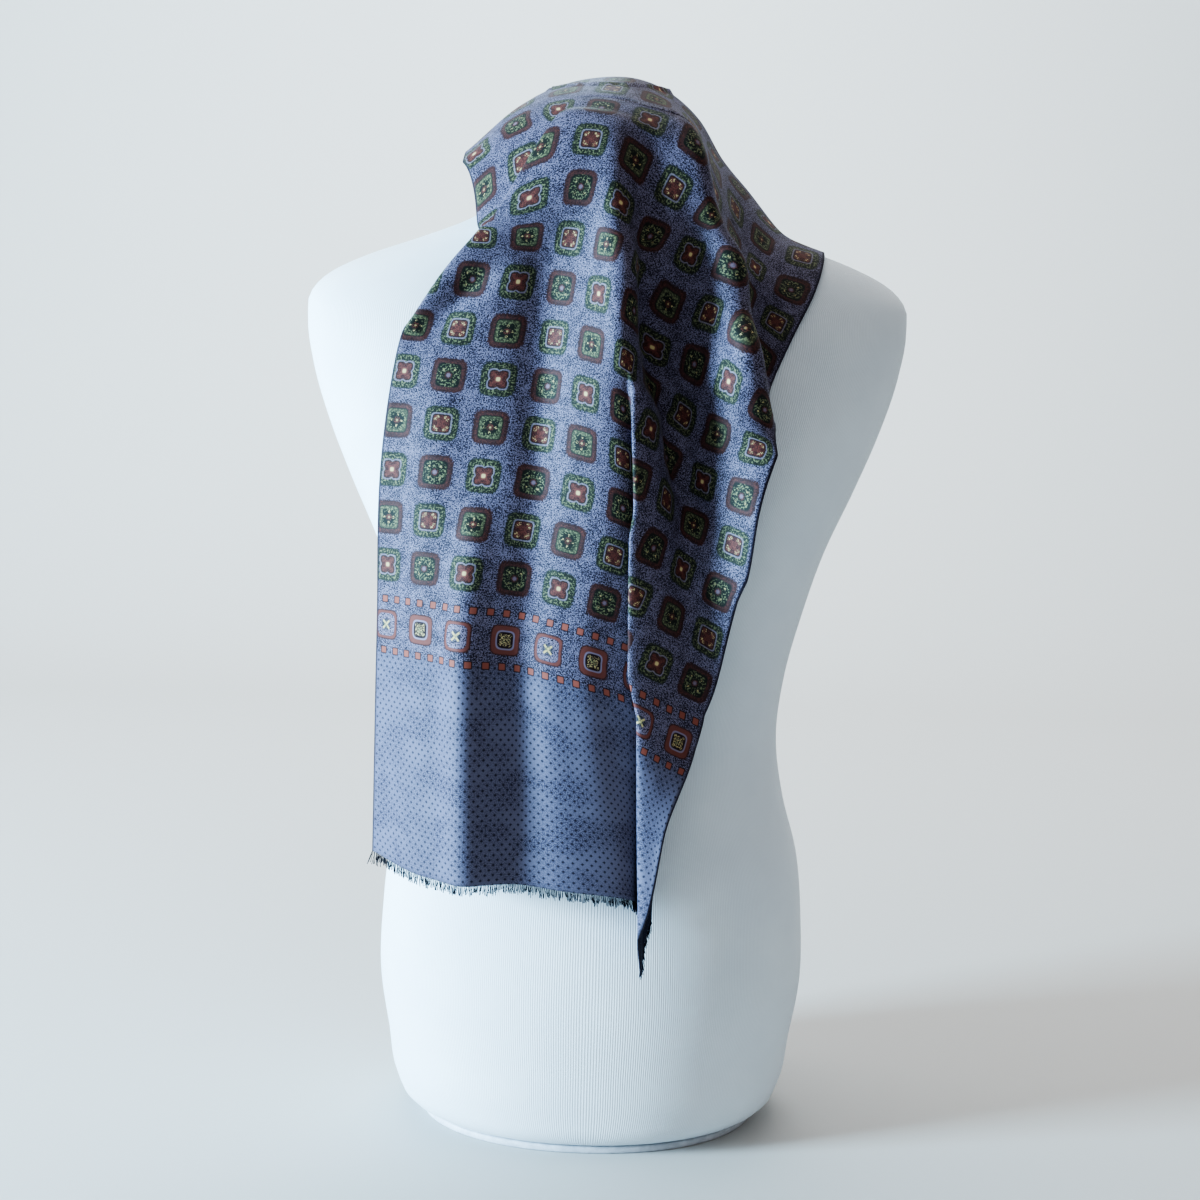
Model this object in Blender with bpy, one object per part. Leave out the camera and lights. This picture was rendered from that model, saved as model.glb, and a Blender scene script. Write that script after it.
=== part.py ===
"""Fringed foulard scarf draped over a limbless dress form.

Metres, +Z up.  The front of the form faces -Y and its left, as seen from the
front, is -X.  The origin is the centre of the flat base.
The scarf is one straight length of cloth.  It is held as a smooth surface
through a few sections across it, written in millimetres, with a tuck where its
right half folds over its left half and a dart-like tuck at the neck.
"""
import math

import bmesh
import bpy
import numpy as np
from mathutils import Vector

MM = 0.001

# ---- driving sizes -------------------------------------------------------
SCARF_WIDTH = 0.300
SCARF_LENGTH = 1.134
CLOTH_THICKNESS = 0.0012
FRINGE_LENGTH = 0.007
FRINGE_HEADING = 0.0018
FRINGE_GAP = 0.0006
STRANDS_PER_END = 48
STRAND_SHARE = 0.45
CLOTH_OFF_FORM = 0.0020
BASE_THICKNESS = 0.005
FORM_RING_POINTS = 44
FORM_RINGS = 34
NECK_CAP_TOP = 0.7040

# ---- dress form: one row for each level, in millimetres -------------------
# height, half width, depth in front, depth behind, squareness of the outline
FORM_LEVELS = (
    (5.3, 117, 89, 84, 2.1),
    (12, 127, 97, 95, 2.15),
    (27, 135, 101, 104, 2.2),
    (60, 141, 104, 109, 2.2),
    (100, 147, 106, 114, 2.2),
    (145, 146, 104, 115, 2.2),
    (190, 141, 99, 109, 2.2),
    (230, 130, 93, 98, 2.2),
    (271, 124, 88, 89, 2.2),
    (315, 128, 90, 86, 2.2),
    (357, 138, 98, 89, 2.2),
    (400, 151, 107, 95, 2.25),
    (445, 170, 114, 101, 2.3),
    (480, 184, 110, 104, 2.3),
    (520, 196, 94, 104, 2.4),
    (550, 200, 78, 97, 2.5),
    (567, 198, 68, 88, 2.4),
    (580, 185, 62, 80, 2.2),
    (592, 160, 59, 74, 2.0),
    (604, 126, 61, 70, 1.8),
    (616, 95, 66, 66, 1.8),
    (630, 73, 71, 60, 1.9),
    (650, 61, 72, 52, 2.0),
    (670, 57, 69, 46, 2.0),
    (684, 50, 60, 41, 2.0),
    (694, 38, 44, 32, 2.0),
    (700, 24, 27, 20, 2.0),
    (703, 10, 11, 8, 2.0),
)

# ---- scarf ----------------------------------------------------------------
# Points across the cloth at which every section is given: how far each lies
# from the left edge, as a share of the way to the ridge, or beyond the ridge.
LEFT_SHARES = (0.0, 0.25, 0.60, 1.0)
BEYOND_RIDGE = (30 * MM, 61 * MM, 102 * MM, 136 * MM)

# name, distance along the cloth from the front hem, and eight points
# (across, forward, height): left edge, left quarter, left middle, ridge,
# near hollow, hollow, right crest, right edge.
SECTIONS = (
    ("under hem", -70, ((-145, -91, 137), (-112, -122, 130), (-54, -134, 128), (27, -124, 117),
                        (32, -112, 109), (39, -106, 101), (49, -103, 92), (57, -102, 84))),
    ("front hem", 0, ((-144, -92, 207), (-110, -122, 200), (-52, -134, 198), (24, -124, 188),
                      (30, -112, 181), (37, -106, 173), (45, -103, 164), (52, -103, 156))),
    ("border", 158, ((-142, -93, 358), (-105, -120, 358), (-48, -136, 354), (20, -132, 335),
                     (46, -124, 320), (73, -116, 306), (105, -112, 289), (132, -108, 273))),
    ("waist", 259, ((-139, -94, 457), (-101, -114, 457), (-45, -128, 454), (16, -140, 439),
                    (37, -128, 426), (58, -122, 411), (92, -138, 397), (120, -146, 386))),
    ("bust", 351, ((-126, -91, 547), (-90, -102, 545), (-35, -112, 543), (13, -134, 529),
                   (31, -114, 513), (50, -108, 495), (78, -128, 483), (106, -140, 475))),
    ("collar", 413, ((-113, -92, 597), (-77, -97, 601), (-26, -101, 603), (22, -123, 586),
                     (38, -99, 564), (64, -111, 559), (87, -129, 539), (102, -100, 505))),
    ("throat", 444, ((-102, -78, 587), (-76, -90, 610), (-20, -103, 634), (29, -108, 607),
                     (51, -98, 595), (75, -107, 586), (88, -90, 550), (106, -78, 521))),
    ("brow", 506, ((-95, -50, 650), (-60, -62, 675), (-9, -80, 684), (50, -86, 660),
                   (65, -79, 634), (79, -68, 606), (100, -60, 584), (131, -53, 569))),
    ("top", 567, ((-94, 10, 657), (-59, -8, 691), (2, -24, 707), (52, -30, 683),
                  (67, -24, 660), (84, -16, 641), (114, -6, 612), (144, 4, 600))),
    ("crown", 600, ((-91, 44, 648), (-58, 26, 692), (4, 8, 711), (57, 2, 685),
                    (74, 10, 660), (94, 18, 638), (122, 30, 606), (146, 38, 586))),
    ("nape", 650, ((-90, 88, 622), (-62, 74, 660), (0, 57, 694), (58, 50, 672),
                   (76, 60, 648), (92, 70, 620), (118, 86, 584), (136, 92, 560))),
    ("shoulder blades", 760, ((-90, 116, 522), (-62, 124, 556), (-10, 116, 592), (44, 126, 572),
                              (58, 114, 546), (76, 122, 520), (98, 128, 488), (114, 136, 462))),
    ("small of back", 950, ((-92, 122, 334), (-66, 140, 364), (-20, 122, 404), (34, 144, 388),
                            (50, 124, 364), (68, 142, 338), (84, 128, 306), (96, 136, 278))),
    ("back hem", 1134, ((-94, 126, 152), (-70, 150, 180), (-26, 126, 222), (26, 154, 208),
                        (42, 128, 184), (60, 150, 158), (74, 130, 124), (84, 138, 96))),
)

# The tuck down the front: how far from the left edge the cloth passes behind
# the ridge, and how far from the left edge the ridge itself lies, by distance
# along the cloth.  Equal values mean that the tuck has opened out.
RIDGE_TUCK = (
    # along, passes behind, ridge
    (0, 182, 309),
    (158, 189, 251),
    (259, 167, 205),
    (351, 164, 164),
    (1134, 164, 164),
)
TUCK_SLANT = 0.42
TUCK_ROUNDING = 2.5 * MM
TUCK_LAYER = 3.6 * MM
TUCK_BLEND = 0.060
TUCK_OPENS_BY = 3.2 * MM

# Between the front hem and this distance along the cloth the top layer of the
# tuck stands away to the right and forward, by these shares of its width.
STRIP_FLARES_BELOW = 158 * MM
STRIP_FLARE = np.array((0.70, -1.20, 0.0))

# The dart at the left of the neck: it closes at a point and both its edges
# run from there down to the left edge of the cloth.
DART_TIP = (79 * MM, 506 * MM)
DART_FRONT_LEAN = 0.51
DART_BACK_LEAN = 0.79
DART_LAYER = 3.2 * MM
DART_ROUNDING = 2.5 * MM

# Softer folds, a row for each: start and end (from the left edge, along the
# cloth), half width, and height, below zero for a trough.  Millimetres.
FOLDS = (
    ("bias ridge", (148, 520), (294, 382), 13, 9),
    ("valley beside the ridge", (136, 486), (190, 372), 12, -9),
    ("valley below the bust", (190, 372), (236, 286), 15, -8),
    ("ridge to the chest", (114, 482), (158, 350), 11, 4),
    ("hem trough", (118, -40), (112, 200), 15, -8),
    ("hem crest", (80, -40), (70, 230), 14, 11),
    ("waist trough", (112, 200), (86, 396), 14, -7),
    ("ridge foot", (160, 60), (150, 270), 12, 2),
    ("collar trough", (50, 388), (14, 346), 10, -7),
    ("left crest", (30, 330), (40, 150), 16, 3),
    ("right trough", (214, 320), (230, 150), 15, -5),
    ("right edge", (284, 350), (282, 200), 14, 4),
    ("back trough", (70, 1160), (80, 800), 20, -6),
    ("back crest", (130, 1160), (130, 840), 20, 6),
    ("back right trough", (246, 1160), (236, 820), 16, -5),
)


def smooth_slopes(knots, values):
    """Slopes of a curve through the values, by three-point differences."""
    step = np.diff(knots)
    rise = np.diff(values, axis=0) / step[:, None]
    slopes = np.empty_like(values)
    slopes[0] = rise[0]
    slopes[-1] = rise[-1]
    before = step[:-1, None]
    after = step[1:, None]
    slopes[1:-1] = (rise[:-1] * after + rise[1:] * before) / (before + after)
    return slopes


def smooth_curve(knots, values, place):
    """Point at one place on the smooth curve through the values at the knots."""
    slopes = smooth_slopes(knots, values)
    i = int(np.clip(np.searchsorted(knots, place) - 1, 0, len(knots) - 2))
    step = knots[i + 1] - knots[i]
    t = (place - knots[i]) / step
    if t < 0.0:
        return values[i] + slopes[i] * (place - knots[i])
    if t > 1.0:
        return values[i + 1] + slopes[i + 1] * (place - knots[i + 1])
    return ((2 * t**3 - 3 * t**2 + 1) * values[i] + (t**3 - 2 * t**2 + t) * step * slopes[i]
            + (3 * t**2 - 2 * t**3) * values[i + 1] + (t**3 - t**2) * step * slopes[i + 1])


ALONG_KNOTS = np.array([row[1] for row in SECTIONS]) * MM
SECTION_POINTS = np.array([row[2] for row in SECTIONS], dtype=float) * MM
TUCK_TABLE = np.array(RIDGE_TUCK, dtype=float) * MM


def section_at(along):
    """Across knots and points of the section at one distance along the cloth."""
    rows = SECTION_POINTS.reshape(len(SECTIONS), -1)
    points = smooth_curve(ALONG_KNOTS, rows, along).reshape(-1, 3)
    behind = np.interp(along, TUCK_TABLE[:, 0], TUCK_TABLE[:, 1])
    knots = [share * behind for share in LEFT_SHARES] + [behind + d for d in BEYOND_RIDGE]
    return np.array(knots), points


def fold_height(across, along):
    """Height of the soft folds at a place on the cloth, outward."""
    total = 0.0
    for name, start, end, half_width, height in FOLDS:
        a = np.array(start) * MM
        b = np.array(end) * MM
        reach = b - a
        share = np.dot(np.array((across, along)) - a, reach) / np.dot(reach, reach)
        held = min(max(share, 0.0), 1.0)
        off = np.linalg.norm(np.array((across, along)) - (a + held * reach))
        taper = 0.35 + 0.65 * math.sin(math.pi * held) ** 0.5
        total += height * MM * taper * math.exp(-(off / (half_width * MM)) ** 2)
    return total


def form_level(height):
    """Half width, front, back and squareness of the form at one height."""
    table = np.array(FORM_LEVELS, dtype=float)
    level = smooth_curve(table[:, 0] * MM, table[:, 1:], height)
    return level[0] * MM, level[1] * MM, level[2] * MM, level[3]


def form_share(point):
    """How far out a point lies from the form's middle line: 1 is on the form."""
    x, y, z = point
    half, front, back, square = form_level(min(z, FORM_LEVELS[-1][0] * MM))
    depth = front if y < 0.0 else back
    over = max(0.0, z - FORM_LEVELS[-1][0] * MM) / (8 * MM)
    return (abs(x / half) ** square + abs(y / depth) ** square) ** (1.0 / square) + over


def clear_of_form(point):
    """Moves a point of the cloth out to lie just off the form."""
    place = np.array(point)
    if not FORM_LEVELS[0][0] * MM < place[2] < FORM_LEVELS[-1][0] * MM + CLOTH_OFF_FORM:
        return place
    step = 0.5 * MM
    for _ in range(6):
        here = form_share(place)
        slope = np.array([(form_share(place + step * side) - form_share(place - step * side)) / (2 * step)
                          for side in np.eye(3)])
        steepness = np.linalg.norm(slope)
        distance = (here - 1.0) / steepness
        if distance >= CLOTH_OFF_FORM - 0.05 * MM or here < 0.2:
            break
        place = place + slope / steepness * (CLOTH_OFF_FORM - distance)
    return place


def base_point(across, along):
    """Point of the untucked drape."""
    knots, points = section_at(along)
    return clear_of_form(smooth_curve(knots, points, across))


def outward(across, along):
    """Outward direction of the untucked drape."""
    step = 4 * MM
    right = base_point(across + step, along) - base_point(across - step, along)
    up = base_point(across, along + step) - base_point(across, along - step)
    normal = np.cross(right, up)
    return normal / np.linalg.norm(normal)


def rounded(distance, radius):
    """Absolute value of a distance, rounded off near zero."""
    return math.sqrt(distance * distance + radius * radius)


def opened(overlap):
    """Share of its full layer height that a tuck has at one overlap."""
    share = min(1.0, max(0.0, overlap / TUCK_OPENS_BY))
    return share * share * (3 - 2 * share)


def ridge_tuck(along):
    """Places, from the left edge, of the tuck's back fold and its ridge."""
    behind = np.interp(along, TUCK_TABLE[:, 0], TUCK_TABLE[:, 1])
    ridge = np.interp(along, TUCK_TABLE[:, 0], TUCK_TABLE[:, 2])
    return 0.5 * (behind + ridge), ridge


def dart_folds(along):
    """Places, from the left edge, of the dart's front fold and its back fold."""
    below_tip = max(0.0, DART_TIP[1] - along)
    return DART_TIP[0] - DART_FRONT_LEAN * below_tip, DART_TIP[0] - DART_BACK_LEAN * below_tip


def cloth_point(across, along):
    """Point of the cloth's middle surface, tucks and folds included."""
    back_fold, ridge = ridge_tuck(along)
    under = across - back_fold
    over = across - ridge
    soft_under = rounded(under, TUCK_ROUNDING)
    soft_over = rounded(over, TUCK_ROUNDING)
    place = across - (under + soft_under) + (over + soft_over)
    drape_along = along - TUCK_SLANT * (across - place)
    layers = 0.5 * (1 + under / soft_under) + 0.5 * (1 + over / soft_over)
    fade = math.exp(-(max(0.0, over) / TUCK_BLEND) ** 2)
    lift = TUCK_LAYER * layers * opened(ridge - back_fold) * fade

    front_fold, hidden_fold = dart_folds(along)
    past_front = front_fold - place
    past_hidden = hidden_fold - place
    soft_front = rounded(past_front, DART_ROUNDING)
    soft_hidden = rounded(past_hidden, DART_ROUNDING)
    layers = 0.5 * (1 - past_front / soft_front) + 0.5 * (1 - past_hidden / soft_hidden)
    fade = math.exp(-(max(0.0, -past_front) / TUCK_BLEND) ** 2)
    lift += DART_LAYER * layers * opened(front_fold - hidden_fold) * fade
    place = place + (past_front + soft_front) - (past_hidden + soft_hidden)

    lift += fold_height(place, drape_along)
    point = base_point(place, drape_along) + lift * outward(place, drape_along)
    flare = max(0.0, 1.0 - along / STRIP_FLARES_BELOW) * max(0.0, over)
    point += flare * STRIP_FLARE
    return clear_of_form(point)


# ---- building -------------------------------------------------------------
def material(name, colour, roughness, sheen=0.0):
    finish = bpy.data.materials.new(name)
    finish.use_nodes = True
    shader = finish.node_tree.nodes["Principled BSDF"]
    shader.inputs["Base Color"].default_value = (*colour, 1.0)
    shader.inputs["Roughness"].default_value = roughness
    shader.inputs["Metallic"].default_value = 0.0
    shader.inputs["Sheen Weight"].default_value = sheen
    return finish


def new_object(name, points, faces, finish, smooth=True):
    mesh = bpy.data.meshes.new(name)
    mesh.from_pydata([tuple(float(c) for c in p) for p in points], [], faces)
    mesh.update()
    if smooth:
        mesh.shade_smooth()
    mesh.materials.append(finish)
    piece = bpy.data.objects.new(name, mesh)
    bpy.context.scene.collection.objects.link(piece)
    return piece


def add_wall(piece, thickness):
    """Gives a sheet its thickness, half to each side."""
    wall = piece.modifiers.new("wall", "SOLIDIFY")
    wall.thickness = thickness
    wall.offset = 0.0
    wall.use_rim = True
    wall.use_even_offset = False


def ring_outline(half, front, back, square, count):
    """Closed outline of one level of the form, counter-clockwise from +X."""
    outline = []
    for i in range(count):
        angle = 2 * math.pi * i / count
        c = math.cos(angle)
        s = math.sin(angle)
        x = half * math.copysign(abs(c) ** (2 / square), c)
        y = (back if s > 0 else front) * math.copysign(abs(s) ** (2 / square), s)
        outline.append((x, y))
    return outline


def closed_loft(name, rings, finish):
    """Closed body through rings of equal count, capped at both ends."""
    count = len(rings[0])
    points = [p for ring in rings for p in ring]
    faces = []
    for r in range(len(rings) - 1):
        for i in range(count):
            j = (i + 1) % count
            faces.append((r * count + i, r * count + j, (r + 1) * count + j, (r + 1) * count + i))
    for end, ring_start in ((0, 0), (-1, (len(rings) - 1) * count)):
        centre = len(points)
        points.append(tuple(np.mean(np.array(rings[end]), axis=0)))
        for i in range(count):
            j = (i + 1) % count
            a, b = ring_start + i, ring_start + j
            faces.append((centre, b, a) if end == 0 else (centre, a, b))
    return new_object(name, points, faces, finish)


def dress_form():
    table = np.array(FORM_LEVELS, dtype=float)
    travel = np.concatenate(([0.0], np.cumsum(np.hypot(np.diff(table[:, 0]), np.diff(table[:, 1])))))
    heights = [smooth_curve(travel, table[:, :1], s)[0] * MM
               for s in np.linspace(0.0, travel[-1], FORM_RINGS)]
    rings = []
    for z in heights:
        half, front, back, square = form_level(z)
        rings.append([(x, y, z) for x, y in ring_outline(half, front, back, square, FORM_RING_POINTS)])
    top = rings[-1]
    for share, rise in ((0.72, 0.55), (0.38, 0.88)):
        lift = rise * (NECK_CAP_TOP - heights[-1])
        middle_y = np.mean([p[1] for p in top])
        rings.append([(x * share, middle_y + (y - middle_y) * share, z + lift) for x, y, z in top])
    jersey = material("form jersey", (0.80, 0.84, 0.90), 0.75, 0.2)
    form = closed_loft("dress_form", rings, jersey)
    cap_point = form.data.vertices[len(form.data.vertices) - 1]
    cap_point.co.z = NECK_CAP_TOP
    return form


def base_plate():
    half, front, back, square = form_level(FORM_LEVELS[0][0] * MM)
    top = BASE_THICKNESS
    edge = 0.0015
    rings = []
    for z, inset in ((0.0, edge), (edge, 0.0), (top - edge, 0.0), (top, edge)):
        outline = ring_outline(half - inset, front - inset, back - inset, square, FORM_RING_POINTS)
        rings.append([(x, y, z) for x, y in outline])
    return closed_loft("base_plate", rings, material("base board", (0.72, 0.73, 0.76), 0.6))


def stepped(stops):
    """Places from the first stop to the last, with a step for each stretch."""
    places = [stops[0][0]]
    for (start, step), (end, _) in zip(stops, stops[1:]):
        count = max(1, round((end - start) / step))
        places += [start + (end - start) * (i + 1) / count for i in range(count)]
    return [p * MM for p in places]


ALONG_STEPS = ((0, 20), (158, 20), (259, 18), (351, 15), (416, 13),
               (506, 13), (640, 18), (760, 25), (1134, 0))
LEFT_COLUMNS = 8
RIGHT_COLUMNS = 16
MERGE_WITHIN = 1.4 * MM
DART_ZONE = 88 * MM
FOLD_OFFSETS = (-4.8 * MM, -1.5 * MM, 1.5 * MM, 4.8 * MM)


def evenly(start, end, count):
    """Places between two ends, both left out."""
    return [start + (end - start) * (i + 1) / (count + 1) for i in range(count)]


COLUMNS = (evenly(-DART_ZONE / LEFT_COLUMNS, DART_ZONE, LEFT_COLUMNS) + [DART_ZONE]
           + evenly(DART_ZONE, SCARF_WIDTH, RIGHT_COLUMNS) + [SCARF_WIDTH])


def score(flat, start, end):
    """Cuts the flat cloth along one straight line, within its own stretch."""
    low = min(start[1], end[1]) - 0.01 * MM
    high = max(start[1], end[1]) + 0.01 * MM
    faces = [f for f in flat.faces if low < f.calc_center_median().y < high]
    edges = {e for f in faces for e in f.edges}
    verts = {v for f in faces for v in f.verts}
    along = Vector((end[0] - start[0], end[1] - start[1], 0.0)).normalized()
    bmesh.ops.bisect_plane(
        flat, geom=list(verts) + list(edges) + faces, dist=0.05 * MM,
        plane_co=(start[0], start[1], 0.0), plane_no=(along.y, -along.x, 0.0))


def scarf(finish):
    """Cuts the length out flat, scores its folds, and drapes every point."""
    flat = bmesh.new()
    along = stepped(ALONG_STEPS)
    grid = [[flat.verts.new((u, v, 0.0)) for u in COLUMNS] for v in along]
    for r, c in ((r, c) for r in range(len(along) - 1) for c in range(len(grid[0]) - 1)):
        flat.faces.new((grid[r][c], grid[r][c + 1], grid[r + 1][c + 1], grid[r + 1][c]))
    for low, high in zip(TUCK_TABLE[:-2, 0], TUCK_TABLE[1:-1, 0]):
        for which in (0, 1):
            for offset in FOLD_OFFSETS:
                score(flat, (ridge_tuck(low)[which] + offset, low), (ridge_tuck(high)[which] + offset, high))
    low = DART_TIP[1] - DART_TIP[0] / DART_FRONT_LEAN - 10 * MM
    for which in (0, 1):
        for offset in FOLD_OFFSETS:
            score(flat, (dart_folds(low)[which] + offset, low), (DART_TIP[0] + offset, DART_TIP[1]))
    bmesh.ops.remove_doubles(flat, verts=flat.verts[:], dist=MERGE_WITHIN)
    bmesh.ops.dissolve_degenerate(flat, dist=0.3 * MM, edges=flat.edges[:])
    bmesh.ops.triangulate(flat, faces=flat.faces[:])
    hems = {}
    for hem, inside in ((0.0, 4 * MM), (SCARF_LENGTH, SCARF_LENGTH - 4 * MM)):
        stations = sorted(v.co.x for v in flat.verts if abs(v.co.y - hem) < 1e-6)
        edge = np.array([cloth_point(u, hem) for u in stations])
        fall = edge - np.array([cloth_point(u, inside) for u in stations])
        run = np.gradient(edge, axis=0)
        run /= np.linalg.norm(run, axis=1, keepdims=True)
        square_off = fall - np.sum(fall * run, axis=1, keepdims=True) * run
        hems[hem] = (np.array(stations), edge, square_off)
    for vertex in flat.verts:
        vertex.co = cloth_point(vertex.co.x, vertex.co.y)
    mesh = bpy.data.meshes.new("scarf")
    flat.to_mesh(mesh)
    flat.free()
    mesh.shade_smooth()
    mesh.materials.append(finish)
    cloth = bpy.data.objects.new("scarf", mesh)
    bpy.context.scene.collection.objects.link(cloth)
    add_wall(cloth, CLOTH_THICKNESS)
    return hems


def fringe(name, hem, flip, finish):
    """Comb of loose yarn ends on a narrow heading, just off one hem."""
    stations, edge, fall = hem

    def at(u):
        point = np.array([np.interp(u, stations, edge[:, k]) for k in range(3)])
        down = np.array([np.interp(u, stations, fall[:, k]) for k in range(3)])
        return point, down / np.linalg.norm(down)

    pitch = SCARF_WIDTH / STRANDS_PER_END
    side = 0.5 * STRAND_SHARE * pitch
    roots = {round(u, 6) for u in stations}
    for i in range(STRANDS_PER_END):
        middle = (i + 0.5) * pitch
        roots -= {u for u in roots if abs(u - middle) <= side + 0.15 * MM}
        roots |= {round(middle - side, 6), round(middle + side, 6)}
    roots = sorted(roots)
    points = []
    for u in roots:
        point, down = at(u)
        points += [point + down * FRINGE_GAP, point + down * (FRINGE_GAP + FRINGE_HEADING)]
    faces = [(2 * i, 2 * i + 1, 2 * i + 3, 2 * i + 2) for i in range(len(roots) - 1)]
    for i in range(STRANDS_PER_END):
        middle = (i + 0.5) * pitch
        left = roots.index(round(middle - side, 6))
        a = points[2 * left + 1]
        b = points[2 * left + 3]
        down = at(middle)[1]
        length = (FRINGE_LENGTH - FRINGE_HEADING) * (0.85 + 0.15 * math.sin(2.3 * i + 1.0))
        tip = 0.5 * (a + b) + down * length + 0.2 * math.sin(1.7 * i) * (b - a)
        first = len(points)
        points += [tip + 0.3 * (a - b), tip + 0.3 * (b - a)]
        faces.append((2 * left + 1, first, first + 1, 2 * left + 3))
    if flip:
        faces = [tuple(reversed(face)) for face in faces]
    comb = new_object(name, points, faces, finish)
    add_wall(comb, CLOTH_THICKNESS)
    return comb


def main():
    for old in list(bpy.data.objects):
        bpy.data.objects.remove(old, do_unlink=True)
    dress_form()
    base_plate()
    hems = scarf(material("printed foulard", (0.16, 0.20, 0.36), 0.5, 0.3))
    fringe("fringe_front", hems[0.0], False, material("front fringe", (0.20, 0.24, 0.42), 0.7))
    fringe("fringe_back", hems[SCARF_LENGTH], True, material("back fringe", (0.20, 0.24, 0.42), 0.7))


main()
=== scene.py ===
import math

import bmesh
import bpy
import numpy as np
from mathutils import Matrix, Vector


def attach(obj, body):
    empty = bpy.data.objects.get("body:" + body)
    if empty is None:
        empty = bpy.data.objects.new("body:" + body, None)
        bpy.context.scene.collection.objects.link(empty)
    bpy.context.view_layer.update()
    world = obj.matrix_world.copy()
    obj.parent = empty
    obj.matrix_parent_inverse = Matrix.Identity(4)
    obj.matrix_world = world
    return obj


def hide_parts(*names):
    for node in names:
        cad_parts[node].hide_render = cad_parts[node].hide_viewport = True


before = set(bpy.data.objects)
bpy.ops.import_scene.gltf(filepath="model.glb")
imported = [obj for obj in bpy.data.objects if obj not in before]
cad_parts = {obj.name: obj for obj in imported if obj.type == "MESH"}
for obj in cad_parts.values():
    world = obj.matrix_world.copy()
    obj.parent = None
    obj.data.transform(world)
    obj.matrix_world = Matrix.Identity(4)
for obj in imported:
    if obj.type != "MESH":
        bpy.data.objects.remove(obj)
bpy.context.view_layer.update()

MM = 0.001


# ---- Where it stands ------------------------------------------------------
# The form stands on a plain pale floor that curves up into a wall, seen a
# little from above and straight on.  A cool soft lamp stands at its left like a
# window, a second one brightens the wall, and the pale room gives the rest.
EYE = Vector((0.0, -1.35, 0.57))
LOOKS_AT = Vector((0.0, 0.0, 0.362))
HEAD_TILT = math.radians(1.5)
FOCAL_LENGTH = 59.7
FILM_WIDTH = 36.0

forward = (LOOKS_AT - EYE).normalized()
level_right = forward.cross(Vector((0, 0, 1))).normalized()
level_up = level_right.cross(forward)
right = level_right * math.cos(HEAD_TILT) + level_up * math.sin(HEAD_TILT)
up = level_up * math.cos(HEAD_TILT) - level_right * math.sin(HEAD_TILT)
lens = bpy.data.cameras.new("view")
lens.lens = FOCAL_LENGTH
lens.sensor_width = FILM_WIDTH
lens.clip_start = 0.05
eye = bpy.data.objects.new("view", lens)
turn = Matrix((right, up, -forward)).transposed()
eye.matrix_world = Matrix.Translation(EYE) @ turn.to_4x4()
bpy.context.scene.collection.objects.link(eye)
bpy.context.scene.camera = eye

WALL_BEHIND = 2.6
WALL_HEIGHT = 5.0
SWEEP_ROUND = 1.2
SWEEP_STEPS = 16
FLOOR_AHEAD = 7.0
FLOOR_WIDTH = 14.0
sweep_mesh = bmesh.new()
profile = [(-FLOOR_AHEAD, 0.0), (WALL_BEHIND - SWEEP_ROUND, 0.0)]
for step in range(1, SWEEP_STEPS + 1):
    turned = math.radians(90 * step / SWEEP_STEPS)
    profile.append((WALL_BEHIND - SWEEP_ROUND + SWEEP_ROUND * math.sin(turned),
                    SWEEP_ROUND - SWEEP_ROUND * math.cos(turned)))
profile.append((WALL_BEHIND, WALL_HEIGHT))
corners = [sweep_mesh.verts.new((-0.5 * FLOOR_WIDTH, y, z)) for y, z in profile]
run = [sweep_mesh.edges.new(pair) for pair in zip(corners, corners[1:])]
widened = bmesh.ops.extrude_edge_only(sweep_mesh, edges=run)
far_side = [v for v in widened["geom"] if isinstance(v, bmesh.types.BMVert)]
bmesh.ops.translate(sweep_mesh, verts=far_side, vec=(FLOOR_WIDTH, 0, 0))
bmesh.ops.recalc_face_normals(sweep_mesh, faces=sweep_mesh.faces[:])
sweep_data = bpy.data.meshes.new("studio_sweep")
sweep_mesh.to_mesh(sweep_data)
sweep_mesh.free()
sweep_data.shade_smooth()
sweep = bpy.data.objects.new("studio_sweep", sweep_data)
bpy.context.scene.collection.objects.link(sweep)
sweep_paint = bpy.data.materials.new("sweep paint")
sweep_paint.use_nodes = True
paint = sweep_paint.node_tree.nodes["Principled BSDF"]
paint.inputs["Base Color"].default_value = (0.60, 0.60, 0.59, 1)
paint.inputs["Roughness"].default_value = 0.8
sweep_data.materials.append(sweep_paint)


def lamp(name, place, aim, size, power, colour):
    """A square soft lamp at a place, turned to face a point."""
    light = bpy.data.lights.new(name, "AREA")
    light.shape = "SQUARE"
    light.size = size
    light.energy = power
    light.color = colour
    holder = bpy.data.objects.new(name, light)
    holder.location = place
    holder.rotation_euler = (Vector(aim) - Vector(place)).to_track_quat("-Z", "Y").to_euler()
    holder.visible_camera = False
    bpy.context.scene.collection.objects.link(holder)


lamp("window side lamp", place=(-2.45, -0.88, 0.66), aim=(0.0, 0.0, 0.38), size=0.6, power=178,
     colour=(0.54, 0.81, 1.0))
lamp("backdrop lamp", place=(0.0, 1.0, 2.6), aim=(0.0, WALL_BEHIND, 0.9), size=1.6, power=46,
     colour=(1.0, 0.99, 0.98))
room = bpy.data.worlds.new("room")
room.use_nodes = True
room_light = room.node_tree.nodes["Background"]
room_light.inputs["Color"].default_value = (1.0, 0.98, 0.97, 1)
room_light.inputs["Strength"].default_value = 0.42
bpy.context.scene.world = room
bpy.context.scene.view_settings.view_transform = "AgX"
bpy.context.scene.view_settings.look = "AgX - Very High Contrast"


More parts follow.
